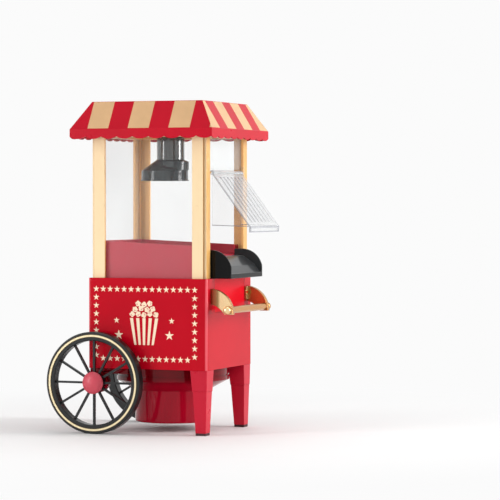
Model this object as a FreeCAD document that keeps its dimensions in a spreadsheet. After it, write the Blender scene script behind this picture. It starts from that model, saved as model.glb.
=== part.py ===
import FreeCAD, Part
import math
import os
import Sketcher
from FreeCAD import Placement, Rotation, Vector
from types import SimpleNamespace

os.makedirs("parts", exist_ok=True)
doc = FreeCAD.newDocument("PopcornCart")

# Driving sizes in millimetres, +Z up, origin on the floor under the middle of the cart
driving = {
    "box_length": 160, "box_depth": 148, "box_floor": 80, "box_height": 112,
    "box_wall": 2.6, "box_corner": 4, "fit_gap": 0.1, "seat_gap": 0.3,
    "panel_drop": 42, "panel_thick": 1.6,
    "post_inset": 3.5, "post_height": 174, "post_flange_x": 18, "post_flange_y": 15.5,
    "post_wall": 3.2, "post_notch": 3, "post_corner": 6, "frame_height": 6, "pane_thick": 2,
    "roof_lift": 3.5, "roof_rise": 34.5, "roof_over_x": 15, "roof_over_y": 21, "roof_slope": 21,
    "roof_wall": 2.2, "valance_height": 12, "scallop_depth": 3, "ceiling_thick": 2.4,
    "tube_radius": 17.4, "tube_wall": 2, "tube_drop": 33, "funnel_radius": 33,
    "hood_radius": 29.3, "hood_shift": 8, "hood_slope": 14, "hood_skirt": 12.5, "hood_rim": 1.2,
    "step_radius": 23, "step_height": 10.6, "step_chamfer": 2.4,
    "cup_radius": 28, "cup_taper": 5, "cup_depth": 20, "cup_flange": 35, "cup_wall": 1.6,
    "tray_wall": 2, "tray_left": 34, "tray_right": 28, "tray_rim": 12, "tray_end": 11,
    "chute_gap": 2, "chute_reach": 23, "chute_height": 35, "chute_nose": 14, "chute_round": 27,
    "chute_wall": 2.6, "chute_slide": 26,
    "flap_inset": 4.5, "flap_length": 84, "flap_thick": 2, "flap_open": 37, "flap_drop": 44,
    "cheek_thick": 1.6, "cheek_depth": 39, "cheek_drop": 52, "lip_height": 5, "rib_pitch": 12,
    "pin_radius": 1.2, "knuckle_radius": 3, "ear_width": 4,
    "bar_radius": 4.4, "bar_inset": 9, "bar_reach": 23.5, "bar_level": 74, "ball_radius": 5.2,
    "bracket_thick": 7, "bracket_top": 100, "bracket_foot": 81, "bracket_round": 31,
    "wheel_radius": 63, "wheel_width": 13, "rim_depth": 11, "wheel_face": 95, "wheel_back": 15.6,
    "spoke_width": 2.6, "spoke_thick": 3.2, "hub_radius": 12, "cap_radius": 13.7, "cap_height": 6.5,
    "axle_radius": 4, "run_gap": 0.06, "boss_radius": 13,
    "leg_top": 22.5, "leg_mid": 19.2, "leg_low": 18.2, "leg_tip": 13.6, "leg_break": 54, "foot_height": 3,
    "popper_x": 3, "collar_inset": 4, "collar_low": 64, "cone_low": 51, "can_radius": 46.6,
    "can_base": 14, "can_flare": 0.9, "shell_wall": 2.2, "grille_height": 3,
    "chamber_radius": 41, "chamber_wall": 1.2, "chamber_base": 98, "duct_radius": 53,
    "fan_radius": 36, "motor_radius": 17, "shaft_radius": 1.6,
    "switch_width": 13, "switch_height": 19, "switch_level": 115, "rocker_tilt": 8,
}


# A number that remembers the sheet expression it comes from
class Size:
    def __init__(self, value, text):
        self.value = float(value)
        self.text = text

    def __add__(self, other):
        other = as_size(other)
        return Size(self.value + other.value, f"({self.text} + {other.text})")

    def __sub__(self, other):
        other = as_size(other)
        return Size(self.value - other.value, f"({self.text} - {other.text})")

    def __mul__(self, other):
        other = as_size(other)
        return Size(self.value * other.value, f"({self.text} * {other.text})")

    def __truediv__(self, other):
        other = as_size(other)
        return Size(self.value / other.value, f"({self.text} / {other.text})")

    def __radd__(self, other):
        return as_size(other) + self

    def __rsub__(self, other):
        return as_size(other) - self

    def __rmul__(self, other):
        return as_size(other) * self

    def __neg__(self):
        return as_size(0) - self


def as_size(number):
    if isinstance(number, Size):
        return number
    return Size(number, f"({number:.6g})")


def fill_sheet():
    sheet = doc.addObject("Spreadsheet::Sheet", "Sizes")
    found = {}
    for row, (alias, value) in enumerate(driving.items(), 1):
        sheet.set(f"A{row}", alias)
        sheet.set(f"B{row}", str(value))
        sheet.setAlias(f"B{row}", alias)
        found[alias] = Size(value, f"Sizes.{alias}")
    doc.recompute()
    return SimpleNamespace(**found)


s = fill_sheet()
nodes = []


def bind(item, path, number):
    item.setExpression(path, as_size(number).text)


def place(item, x=0, y=0, z=0, turn=None):
    if turn:
        item.Placement = Placement(Vector(), turn)
    bind(item, "Placement.Base.x", x)
    bind(item, "Placement.Base.y", y)
    bind(item, "Placement.Base.z", z)
    return item


# Hands an object over as a finished sub-part of the given name
def node(name, item):
    item.Label = name
    nodes.append(item)
    return item


# Sketch outlines: a loop is a list of (x, y) or (x, y, radius of the arc that arrives there)
def arc_between(first, last, radius):
    chord = last - first
    left = Vector(-chord.y, chord.x, 0).normalize()
    rise = math.sqrt(max(radius * radius - chord.Length ** 2 / 4, 0))
    centre = (first + last) * 0.5 + left * math.copysign(rise, radius)
    ends = [first, last] if radius > 0 else [last, first]
    angles = [math.atan2(end.y - centre.y, end.x - centre.x) for end in ends]
    circle = Part.Circle(centre, Vector(0, 0, 1), abs(radius))
    return Part.ArcOfCircle(circle, angles[0], angles[1])


def pin_point(outline, edge, end, x, y):
    for kind, axis, number in (("DistanceX", -2, x), ("DistanceY", -1, y)):
        if isinstance(number, Size):
            at = outline.addConstraint(Sketcher.Constraint(kind, edge, end, number.value))
            outline.setExpression(f"Constraints[{at}]", number.text)
        elif number == 0:
            outline.addConstraint(Sketcher.Constraint("PointOnObject", edge, end, axis))
        else:
            outline.addConstraint(Sketcher.Constraint(kind, edge, end, float(number)))


def draw_loop(outline, loop):
    points = [Vector(as_size(p[0]).value, as_size(p[1]).value, 0) for p in loop]
    edges = []
    for index, entry in enumerate(loop):
        first, last = points[index - 1], points[index]
        start, end = 1, 2
        if len(entry) == 3:
            radius = as_size(entry[2])
            edge = outline.addGeometry(arc_between(first, last, radius.value))
            at = outline.addConstraint(Sketcher.Constraint("Radius", edge, abs(radius.value)))
            if isinstance(entry[2], Size):
                outline.setExpression(f"Constraints[{at}]", f"abs({radius.text})")
            if radius.value < 0:
                start, end = 2, 1
        else:
            edge = outline.addGeometry(Part.LineSegment(first, last))
        edges.append((edge, start, end))
    for index, (edge, start, end) in enumerate(edges):
        before = edges[index - 1]
        outline.addConstraint(Sketcher.Constraint("Coincident", before[0], before[2], edge, start))
    for (edge, start, end), entry in zip(edges, loop):
        pin_point(outline, edge, end, entry[0], entry[1])


def draw_circle(outline, ring):
    x, y, radius = ring
    middle = Vector(as_size(x).value, as_size(y).value, 0)
    edge = outline.addGeometry(Part.Circle(middle, Vector(0, 0, 1), as_size(radius).value))
    pin_point(outline, edge, 3, x, y)
    at = outline.addConstraint(Sketcher.Constraint("Radius", edge, as_size(radius).value))
    outline.setExpression(f"Constraints[{at}]", as_size(radius).text)


def sketch(body, plane, loops, offset=0):
    outline = body.newObject("Sketcher::SketchObject", body.Name + "_outline")
    origin = [f for f in body.Origin.OriginFeatures if f.Role == plane][0]
    outline.AttachmentSupport = [(origin, "")]
    outline.MapMode = "FlatFace"
    bind(outline, "AttachmentOffset.Base.z", offset)
    for loop in loops:
        if isinstance(loop, tuple):
            draw_circle(outline, loop)
        else:
            draw_loop(outline, loop)
    return outline


def rectangle(x, y):
    return [(x[0], y[0]), (x[1], y[0]), (x[1], y[1]), (x[0], y[1])]


def rounded(x, y, radius):
    return [
        (x[0] + radius, y[0], radius), (x[1] - radius, y[0]),
        (x[1], y[0] + radius, radius), (x[1], y[1] - radius),
        (x[1] - radius, y[1], radius), (x[0] + radius, y[1]),
        (x[0], y[1] - radius, radius), (x[0], y[0] + radius),
    ]


# Solid makers
def prism(name, plane, loops, low, high):
    body = doc.addObject("PartDesign::Body", name)
    offset = -as_size(high) if plane == "XZ_Plane" else low
    pad = body.newObject("PartDesign::Pad", name + "_pad")
    pad.Profile = sketch(body, plane, loops, offset)
    bind(pad, "Length", as_size(high) - low)
    body.Tip = pad
    return body


def pocket(body, plane, loops, low, high):
    offset = -as_size(low) if plane == "XZ_Plane" else high
    outline = sketch(body, plane, loops, offset)
    hollow = body.newObject("PartDesign::Pocket", body.Name + "_pocket")
    hollow.Profile = outline
    bind(hollow, "Length", as_size(high) - low)
    body.Tip = hollow
    return hollow


def add_pad(body, plane, loops, low, high):
    offset = -as_size(high) if plane == "XZ_Plane" else low
    outline = sketch(body, plane, loops, offset)
    pad = body.newObject("PartDesign::Pad", body.Name + "_pad")
    pad.Profile = outline
    bind(pad, "Length", as_size(high) - low)
    body.Tip = pad
    return pad


def repeat_round(body, feature, count):
    axis = [f for f in body.Origin.OriginFeatures if f.Role == "Z_Axis"][0]
    doc.recompute()
    pattern = body.newObject("PartDesign::PolarPattern", body.Name + "_pattern")
    pattern.Originals = [feature]
    pattern.Axis = (axis, [""])
    pattern.Angle = 360
    pattern.Occurrences = count
    body.Tip = pattern


def lathe(name, loops, x=0, y=0, z=0, turn=None):
    body = doc.addObject("PartDesign::Body", name)
    outline = sketch(body, "XZ_Plane", loops)
    turned = body.newObject("PartDesign::Revolution", name + "_turned")
    turned.Profile = outline
    turned.ReferenceAxis = (outline, ["V_Axis"])
    turned.Angle = 360
    body.Tip = turned
    return place(body, x, y, z, turn)


def block(name, x, y, z):
    item = doc.addObject("Part::Box", name)
    bind(item, "Length", as_size(x[1]) - x[0])
    bind(item, "Width", as_size(y[1]) - y[0])
    bind(item, "Height", as_size(z[1]) - z[0])
    return place(item, x[0], y[0], z[0])


along_y = Rotation(Vector(1, 0, 0), -90)
along_x = Rotation(Vector(0, 1, 0), 90)
against_y = Rotation(Vector(1, 0, 0), 90)


def rod(name, radius, low, high, axis="Z", at=(0, 0)):
    item = doc.addObject("Part::Cylinder", name)
    bind(item, "Radius", radius)
    bind(item, "Height", as_size(high) - low)
    if axis == "X":
        return place(item, low, at[0], at[1], along_x)
    if axis == "Y":
        return place(item, at[0], low, at[1], along_y)
    return place(item, at[0], at[1], low)


# A four-sided block that tapers from its low rectangle to its high one
def taper(name, low_x, low_y, low_z, high_x, high_y, high_z):
    item = doc.addObject("Part::Wedge", name)
    sides = {
        "Xmin": low_x[0], "Xmax": low_x[1], "X2min": high_x[0], "X2max": high_x[1],
        "Zmin": -as_size(low_y[1]), "Zmax": -as_size(low_y[0]),
        "Z2min": -as_size(high_y[1]), "Z2max": -as_size(high_y[0]),
        "Ymin": low_z, "Ymax": high_z,
    }
    for side, number in sides.items():
        setattr(item, side, as_size(number).value)
    for side, number in sides.items():
        bind(item, side, number)
    item.Placement = Placement(Vector(), against_y)
    return item


def fuse(name, *shapes):
    item = doc.addObject("Part::MultiFuse", name)
    item.Shapes = list(shapes)
    item.Refine = True
    return item


def cut(name, base, *tools):
    item = doc.addObject("Part::Cut", name)
    item.Base = base
    item.Tool = tools[0] if len(tools) == 1 else fuse(name + "_tools", *tools)
    item.Refine = True
    return item


def common(name, first, second):
    item = doc.addObject("Part::Common", name)
    item.Base = first
    item.Tool = second
    item.Refine = True
    return item


def mirror(name, source, normal):
    item = doc.addObject("Part::Mirroring", name)
    item.Source = source
    item.Normal = normal
    return item


flip_x = Vector(1, 0, 0)
flip_y = Vector(0, 1, 0)


def span(half):
    return (-as_size(half), half)


# Shared levels and faces
half_x = s.box_length / 2
half_y = s.box_depth / 2
deck_z = s.box_floor + s.box_height
frame_x = half_x - s.post_inset
frame_y = half_y - s.post_inset
post_top = deck_z + s.post_height
seat_z = post_top + s.frame_height
crease_z = seat_z + s.roof_lift
roof_z = crease_z + s.roof_rise
valance_z = crease_z - s.valance_height
pane_x = frame_x - s.post_wall - s.fit_gap
pane_y = frame_y - s.post_wall - s.fit_gap
tube_end = seat_z - s.tube_drop
plate_top = s.box_floor + s.box_wall
pivot_x = frame_x - 0.5
pivot_z = post_top - s.flap_drop
chamber_hole = s.chamber_radius + 1.5
chute_half = frame_y - s.post_flange_y - s.chute_gap
flap_half = chute_half - s.flap_inset
panel_half = chute_half - 4
collar_radius = half_y - s.collar_inset
bar_half = half_y - s.bar_inset
screw_y = bar_half - s.bracket_thick - 5.5
screw_z = s.box_floor + 92


def make_body():
    shell = prism("shell", "XY_Plane", [rounded(span(half_x), span(half_y), s.box_corner)],
                  s.box_floor, deck_z)
    inner_x = half_x - s.box_wall
    inner_y = half_y - s.box_wall
    pocket(shell, "XY_Plane", [rectangle(span(inner_x), span(inner_y))],
           s.box_floor, deck_z - s.box_wall)
    pocket(shell, "XY_Plane", [(s.popper_x, 0, chamber_hole)], deck_z - s.box_wall, deck_z)
    low = deck_z - s.panel_drop
    recess = block("panel_recess", (half_x - s.panel_thick, half_x + 1),
                   span(panel_half), (low, deck_z + 1))
    slot = block("switch_slot", (-40 - s.switch_width / 2, -40 + s.switch_width / 2),
                 (inner_y - 1, half_y + 1),
                 (s.switch_level - s.switch_height / 2, s.switch_level + s.switch_height / 2))
    inlet = rod("inlet_hole", 5.7, inner_y - 1, half_y + 1, "Y", (40, 100))
    holes = []
    for side in (-1, 1):
        holes.append(rod(f"handle_hole_{side + 1}", 1.6, half_x - 9, half_x + 1, "X",
                         (side * screw_y, screw_z)))
    node("body_shell", cut("body_cut", shell, recess, slot, inlet, *holes))
    panel = block("panel_block", (half_x - s.panel_thick, half_x),
                  span(panel_half - 0.4), (low + 0.4, deck_z))
    node("outlet_panel", panel)
    plate = prism("plate", "XY_Plane",
                  [rectangle(span(inner_x - s.fit_gap), span(inner_y - s.fit_gap)),
                   (s.popper_x, 0, s.duct_radius - 3)], s.box_floor, plate_top)
    node("base_plate", plate)


def make_frame():
    notch, wall, corner = s.post_notch, s.post_wall, s.post_corner
    fx, fy = s.post_flange_x, s.post_flange_y

    def at(u, v):
        return (u - frame_x, v - frame_y)

    section = [at(notch, 0), at(fx, 0), at(fx, wall), at(corner, wall), at(corner, corner),
               at(wall, corner), at(wall, fy), at(0, fy), at(0, notch), at(notch, notch)]
    section = [(as_size(x), as_size(y)) for x, y in section]
    left = node("post_front_left", prism("post_a", "XY_Plane", [section], deck_z, post_top))
    right = node("post_front_right", mirror("post_b", left, flip_x))
    node("post_back_left", mirror("post_c", left, flip_y))
    node("post_back_right", mirror("post_d", right, flip_y))
    ring = prism("top_ring", "XY_Plane",
                 [rounded(span(frame_x), span(frame_y), s.box_corner),
                  rectangle(span(frame_x - 12), span(frame_y - 12))], post_top, seat_z)
    node("top_frame", ring)
    top = post_top - s.fit_gap
    low = deck_z + s.fit_gap
    wide_x = frame_x - s.post_corner - s.seat_gap
    wide_y = frame_y - s.post_corner - s.seat_gap
    front = node("window_front", block("pane_front", span(wide_x),
                                       (-pane_y, s.pane_thick - pane_y), (low, top)))
    node("window_back", mirror("pane_back", front, flip_y))
    node("window_left", block("pane_left", (-pane_x, s.pane_thick - pane_x), span(wide_y), (low, top)))
    make_right_window(wide_y, top)


# The right pane ends above the serving opening and carries the hinge ears
def make_right_window(wide_y, top):
    low = pivot_z + s.knuckle_radius + 1.2
    pane = block("pane_right", (pane_x - s.pane_thick, pane_x), span(wide_y), (low, top))
    inner = flap_half + 1
    outer = inner + s.ear_width
    parts = [pane]
    for name, y in (("near", (-outer, -inner)), ("far", (inner, outer))):
        parts.append(rod("ear_" + name, s.knuckle_radius, y[0], y[1], "Y", (pivot_x, pivot_z)))
        parts.append(block("ear_arm_" + name, (pane_x - s.pane_thick, pivot_x + s.knuckle_radius), y,
                           (pivot_z, low + 4)))
    bore = rod("ear_bore", s.pin_radius + s.run_gap, -outer - 1, outer + 1, "Y", (pivot_x, pivot_z))
    node("window_right", cut("pane_ears", fuse("pane_fused", *parts), bore))
    node("flap_hinge_pin", rod("hinge_pin", s.pin_radius, -outer, outer, "Y", (pivot_x, pivot_z)))


def make_flap():
    half, wall = flap_half, s.flap_thick / 2
    foot = -s.flap_length
    sheet = prism("flap_sheet", "XZ_Plane",
                  [[(wall, 0), (-wall, 0), (-wall, foot + 1), (-wall - 4, foot - s.lip_height + 1.4),
                    (-wall - 2.4, foot - s.lip_height), (wall, foot)]], -half, half)
    cheek = [(0, 0), (-s.cheek_depth, -s.cheek_drop), (wall, foot), (wall, 0)]
    near = prism("cheek_near", "XZ_Plane", [cheek], -half, s.cheek_thick - half)
    far = prism("cheek_far", "XZ_Plane", [cheek], half - s.cheek_thick, half)
    tube = rod("flap_tube", s.knuckle_radius, -half, half, "Y")
    ribs = []
    for step in range(-3, 4):
        ribs.append(block(f"flap_rib_{step + 3}", (wall - 0.2, wall + 0.9),
                          (step * s.rib_pitch - 0.7, step * s.rib_pitch + 0.7), (foot + 6, -8)))
    whole = fuse("flap_fused", sheet, near, far, tube, *ribs)
    bore = rod("flap_bore", s.pin_radius + s.run_gap, -half - 1, half + 1, "Y")
    flap = node("serving_flap", cut("flap_cut", whole, bore))
    place(flap, pivot_x, 0, pivot_z, Rotation(Vector(0, 1, 0), -s.flap_open.value))


def make_roof():
    crease_x = half_x + s.roof_over_x
    crease_y = half_y + s.roof_over_y
    top_x = crease_x - s.roof_slope
    top_y = crease_y - s.roof_slope
    wall = s.roof_wall
    outer = taper("roof_outer", span(crease_x), span(crease_y), crease_z,
                  span(top_x), span(top_y), roof_z)
    inner = taper("roof_inner", span(crease_x - wall), span(crease_y - wall), crease_z,
                  span(top_x - wall), span(top_y - wall), roof_z - wall)
    mouth = rod("roof_mouth", s.cup_radius + 1, roof_z - 6, roof_z + 1)
    long_side = prism("valance_a", "XZ_Plane", [scalloped(crease_x)], -crease_y, wall - crease_y)
    short_side = prism("valance_b", "YZ_Plane", [scalloped(crease_y)], -crease_x, wall - crease_x)
    sides = [long_side, short_side, mirror("valance_c", long_side, flip_y),
             mirror("valance_d", short_side, flip_x)]
    slopes = cut("roof_slopes", outer, inner, mouth)
    node("canopy", fuse("roof_fused", slopes, *sides))
    plate = prism("ceiling", "XY_Plane",
                  [rectangle(span(crease_x - wall - 0.2), span(crease_y - wall - 0.2)),
                   (0, 0, s.tube_radius + 0.2)], seat_z, seat_z + s.ceiling_thick)
    node("ceiling_plate", plate)


def scalloped(half):
    count = 9
    pitch = half * 2 / count
    cusp = valance_z + s.scallop_depth
    radius = (pitch * pitch / 4 + s.scallop_depth * s.scallop_depth) / (2 * s.scallop_depth)
    loop = [(-half, crease_z), (-half, cusp)]
    for step in range(1, count):
        loop.append((pitch * step - half, cusp, radius))
    loop.append((half, cusp, radius))
    loop.append((half, crease_z))
    return loop


def make_feed():
    outer = s.tube_radius
    inner = outer - s.tube_wall
    flange_z = seat_z + s.ceiling_thick
    mouth = roof_z - s.roof_wall - 0.2
    wide = s.funnel_radius
    cone_z = flange_z + 22
    profile = [(inner, tube_end), (outer, tube_end), (outer, flange_z), (outer + 8, flange_z),
               (outer + 8, flange_z + 2), (outer + 1.4, flange_z + 2), (wide + s.tube_wall, cone_z),
               (wide + s.tube_wall, mouth), (wide, mouth), (wide, cone_z), (inner, flange_z + 2)]
    node("feed_tube", lathe("tube", [profile]))
    cup, wall = s.cup_radius, s.cup_wall
    tip = cup - s.cup_taper
    base = roof_z - s.cup_depth
    profile = [(0, base), (tip, base), (cup, roof_z), (s.cup_flange, roof_z),
               (s.cup_flange, roof_z + wall), (cup - wall, roof_z + wall),
               (tip - wall, base + wall), (0, base + wall)]
    grip = block("cup_grip", span(cup - 2), span(1.5), (base + 1, roof_z - 3))
    node("measuring_cup", fuse("cup_fused", lathe("cup", [profile]), grip))


# The hood under the feed tube: off-centre skirt, long slope on the left, short step on the right
def make_hood():
    outer = slanted("hood_outer", s.tube_radius, s.hood_radius, 0)
    inner = slanted("hood_inner", s.tube_radius - s.tube_wall, s.hood_radius - s.tube_wall, 1)
    base = tube_end - s.hood_slope - s.hood_skirt
    rim = rod("hood_rim", s.hood_radius + s.hood_rim, base, base + s.hood_rim, "Z", (-s.hood_shift, 0))
    shoulder = tube_end - s.step_chamfer
    step = lathe("hood_step", [[(0, shoulder - s.step_height), (s.step_radius, shoulder - s.step_height),
                                (s.step_radius, shoulder), (s.tube_radius, tube_end), (0, tube_end)]])
    right = block("hood_right", (0, 60), span(60), (base, tube_end + 1))
    whole = fuse("hood_fused", outer, rim, common("hood_half", step, right))
    node("kettle_hood", cut("hood_cut", whole, inner))


def slanted(name, small, large, extra):
    low = tube_end - s.hood_slope
    rings = []
    for tag, radius, x, z in (("top", small, 0, tube_end), ("low", large, -s.hood_shift, low)):
        ring = doc.addObject("Part::Circle", f"{name}_{tag}")
        bind(ring, "Radius", radius)
        rings.append(place(ring, x, 0, z))
    slope = doc.addObject("Part::Loft", name + "_slope")
    slope.Sections = rings
    slope.Solid = True
    slope.Ruled = True
    skirt = rod(name + "_skirt", large, low - s.hood_skirt - extra, low, "Z", (-s.hood_shift, 0))
    parts = [slope, skirt]
    if extra:
        parts.append(rod(name + "_bore", small, tube_end - 0.5, tube_end + extra))
    return fuse(name, *parts)


def make_tray():
    left = -(frame_x - s.post_corner - s.seat_gap)
    right = frame_x - s.tray_end
    wide = pane_y - s.pane_thick - s.seat_gap
    wall = s.tray_wall
    floor_l = deck_z + s.tray_left
    floor_r = deck_z + s.tray_right
    outer = prism("tray_outer", "XZ_Plane",
                  [[(left, deck_z), (right, deck_z), (right, floor_r + s.tray_rim),
                    (left, floor_l + s.tray_rim)]], -wide, wide)
    above = [(left + wall, floor_l), (right - wall, floor_r), (right - wall, floor_r + 60),
             (left + wall, floor_r + 60)]
    below = [(left + wall, deck_z - 1), (right - wall, deck_z - 1), (right - wall, floor_r - wall),
             (left + wall, floor_l - wall)]
    upper = prism("tray_upper", "XZ_Plane", [above], wall - wide, wide - wall)
    lower = prism("tray_lower", "XZ_Plane", [below], wall - wide, wide - wall)
    gate = block("tray_gate", (right - wall - 1, right + 1), span(chute_half - 1),
                 (floor_r, floor_r + 60))
    hole = rod("tray_hole", s.chamber_radius + 0.8, deck_z, floor_l + 20, "Z", (s.popper_x, 0))
    node("popcorn_tray", cut("tray_cut", outer, upper, lower, gate, hole))


def make_chute():
    start = frame_x - s.tray_end + s.fit_gap
    nose = half_x + s.chute_reach
    base = deck_z
    top = deck_z + s.chute_height
    wall = s.chute_wall
    shoulder = half_x - 4
    profile = [(start, base), (nose, base), (nose, base + s.chute_nose),
               (shoulder, top, s.chute_round), (start, top)]
    outer = prism("chute_outer", "XZ_Plane", [profile], -chute_half, chute_half)
    slide = deck_z + s.chute_slide
    bend_x, bend_z = nose - 9, slide - 11
    above = [(start - 1, slide + 1), (half_x - 1, slide), (bend_x, bend_z), (nose - wall, base + 6),
             (nose + 2, base + 6), (nose + 2, top + 2), (start - 1, top + 2)]
    below = [(start - 1, base - 1), (nose - wall - 1, base - 1), (nose - wall - 1, base + 4),
             (bend_x - 1, bend_z - wall), (half_x - 1, slide - wall), (start - 1, slide + 1 - wall)]
    inner = chute_half - wall
    upper = prism("chute_upper", "XZ_Plane", [above], -inner, inner)
    lower = prism("chute_lower", "XZ_Plane", [below], -inner, inner)
    node("chute", cut("chute_cut", outer, upper, lower))


def make_handle():
    bar_x = half_x + s.bar_reach
    bar_z = s.box_floor + s.bar_level
    top = s.box_floor + s.bracket_top
    foot = s.box_floor + s.bracket_foot
    grip = s.bar_radius + 1
    profile = [(half_x, foot), (bar_x - grip, bar_z - grip, -s.bracket_round + 3),
               (bar_x + grip, bar_z - grip), (half_x, top, s.bracket_round)]
    outer = bar_half - 2
    arm = prism("bracket_arm", "XZ_Plane", [profile], -outer, s.bracket_thick - outer)
    flange = block("bracket_flange", (half_x, half_x + 2.4),
                   (s.bracket_thick - outer - 0.5, s.bracket_thick - outer + 7), (foot + 2, top - 1))
    bore = rod("bracket_bore", s.bar_radius + s.run_gap, -outer - 1, s.bracket_thick - outer + 1, "Y",
               (bar_x, bar_z))
    hole = rod("bracket_hole", 1.6, half_x - 1, half_x + 4, "X", (-screw_y, screw_z))
    front = node("handle_bracket_front",
                 cut("bracket_cut", fuse("bracket_fused", arm, flange), bore, hole))
    node("handle_bracket_back", mirror("bracket_back", front, flip_y))
    half, ball = bar_half, s.ball_radius
    profile = [(0, -half), (s.bar_radius, -half), (s.bar_radius, half), (0, half)]
    bar = lathe("bar", [profile], bar_x, 0, bar_z, along_y)
    balls = []
    for tag, y in (("near", -half - 2), ("far", half + 2)):
        knob = doc.addObject("Part::Sphere", "ball_" + tag)
        bind(knob, "Radius", ball)
        balls.append(place(knob, bar_x, y, bar_z))
    node("handle_bar", fuse("bar_fused", bar, *balls))
    screws = []
    for side in (-1, 1):
        at = (side * screw_y, screw_z)
        screws.append(rod(f"screw_head_{side + 1}", 2.8, half_x + 2.4, half_x + 4.2, "X", at))
        screws.append(rod(f"screw_shank_{side + 1}", 1.5, half_x - 6, half_x + 3, "X", at))
    node("handle_screws", fuse("screws_fused", *screws))


def make_wheels():
    radius, width = s.wheel_radius, s.wheel_width
    inner = radius - s.rim_depth
    spin_x = -(half_x - s.wheel_back)
    back_y = s.wheel_width - s.wheel_face
    ring = [(inner, 1), (inner + 1, 0), (radius - 1.2, 0), (radius, 1.2), (radius, width - 1.2),
            (radius - 1.2, width), (radius - 3.5, width), (radius - 3.5, width + 0.7),
            (radius - 6.2, width + 0.7), (radius - 6.2, width), (inner + 1, width), (inner, width - 1)]
    wheel = lathe("wheel", [ring], spin_x, back_y, radius, against_y)
    mid = width * 0.55
    bore = s.axle_radius + s.run_gap
    hub = add_pad(wheel, "XY_Plane", [(0, 0, s.hub_radius)], 1, width - 2)
    spoke = add_pad(wheel, "XY_Plane",
                    [rectangle((s.hub_radius - 2, inner + 1.5), span(s.spoke_width / 2))],
                    mid - s.spoke_thick / 2, mid + s.spoke_thick / 2)
    repeat_round(wheel, spoke, 12)
    pocket(wheel, "XY_Plane", [(0, 0, bore)], -1, width + 2)
    front = node("wheel_front", wheel)
    node("wheel_back", mirror("wheel_rear", front, flip_y))
    cap, rise = s.cap_radius, s.cap_height
    round_r = (cap * cap + rise * rise) / (2 * rise)
    face = width - 2
    dome = [(0, face), (cap, face), (cap, face + 1.4), (0, face + 1.4 + rise, round_r)]
    front_cap = node("hub_cap_front", lathe("cap", [dome], spin_x, back_y, radius, against_y))
    node("hub_cap_back", mirror("cap_rear", front_cap, flip_y))
    make_axle(spin_x, back_y)


def make_axle(spin_x, back_y):
    level = s.wheel_radius
    top = s.box_floor
    edge = -(half_y - 2)
    strip = block("axle_strip", (-(half_x - 2), -27), (edge, edge + 6), (top - 6.5, top))
    pad_block = block("axle_pad", (-(half_x - 2), spin_x + 15), (edge, edge + 22), (top - 6.5, top))
    hanger = block("axle_hanger", (spin_x - 9, spin_x + 9), (edge, edge + 8), (level, top))
    eye = rod("axle_eye", 11, edge, edge + 8, "Y", (spin_x, level))
    boss = rod("axle_boss", s.boss_radius, back_y + 1.5, edge + 1, "Y", (spin_x, level))
    bore = rod("axle_bore", s.axle_radius + s.run_gap, back_y - 9, edge + 20, "Y", (spin_x, level))
    whole = fuse("axle_fused", strip, pad_block, hanger, eye, boss)
    front = node("axle_bracket_front", cut("axle_cut", whole, bore))
    node("axle_bracket_back", mirror("axle_cut_back", front, flip_y))
    stub = rod("stub", s.axle_radius, -(s.wheel_face - 3.5), edge + 8, "Y", (spin_x, level))
    head = rod("stub_head", s.axle_radius + 2.5, edge + 8, edge + 10, "Y", (spin_x, level))
    axle = node("axle_front", fuse("stub_fused", stub, head))
    node("axle_back", mirror("stub_back", axle, flip_y))


def make_legs():
    out_x = half_x - 1
    out_y = -(half_y - 1.5)
    step = 0.5
    top = taper("leg_upper", (out_x - s.leg_mid - step, out_x - step),
                (out_y + step, out_y + step + s.leg_mid), s.leg_break,
                (out_x - s.leg_top, out_x), (out_y, out_y + s.leg_top), s.box_floor)
    tip_x = out_x - 2.4
    tip_y = out_y + 2.2
    low = taper("leg_lower", (tip_x - s.leg_tip, tip_x), (tip_y, tip_y + s.leg_tip), s.foot_height,
                (out_x - 1 - s.leg_low, out_x - 1), (out_y + 1, out_y + 1 + s.leg_low), s.leg_break)
    front = node("leg_front", fuse("leg_fused", top, low))
    node("leg_back", mirror("leg_rear", front, flip_y))
    foot = block("foot", (tip_x - s.leg_tip + 0.2, tip_x - 0.2),
                 (tip_y + 0.2, tip_y + s.leg_tip - 0.2), (0, s.foot_height))
    node("foot_front", foot)
    node("foot_back", mirror("foot_rear", foot, flip_y))


def make_housing():
    collar, can, wall = collar_radius, s.can_radius, s.shell_wall
    top, low = s.box_floor, s.collar_low
    wide = can + s.can_flare
    profile = [(collar - wall, top), (collar - wall, low + 1), (can - wall, s.cone_low + 1),
               (wide - wall, s.can_base), (wide, s.can_base), (can, s.cone_low), (collar + 0.6, low),
               (collar + 0.6, low + 5.4), (collar - 0.9, low + 5.4), (collar - 0.9, low + 7),
               (collar, low + 7), (collar, top)]
    node("motor_housing", lathe("housing", [profile], s.popper_x))
    base = s.can_base - s.grille_height
    grille = lathe("grille", [[(0, base), (wide - 2.5, base), (wide, base + 2.5, 2.5),
                               (wide, s.can_base), (0, s.can_base)]], s.popper_x)
    slots = pocket(grille, "XY_Plane", [rectangle((12, wide - 9), span(1.6))], base - 1, s.can_base + 1)
    repeat_round(grille, slots, 18)
    node("intake_grille", grille)


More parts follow.
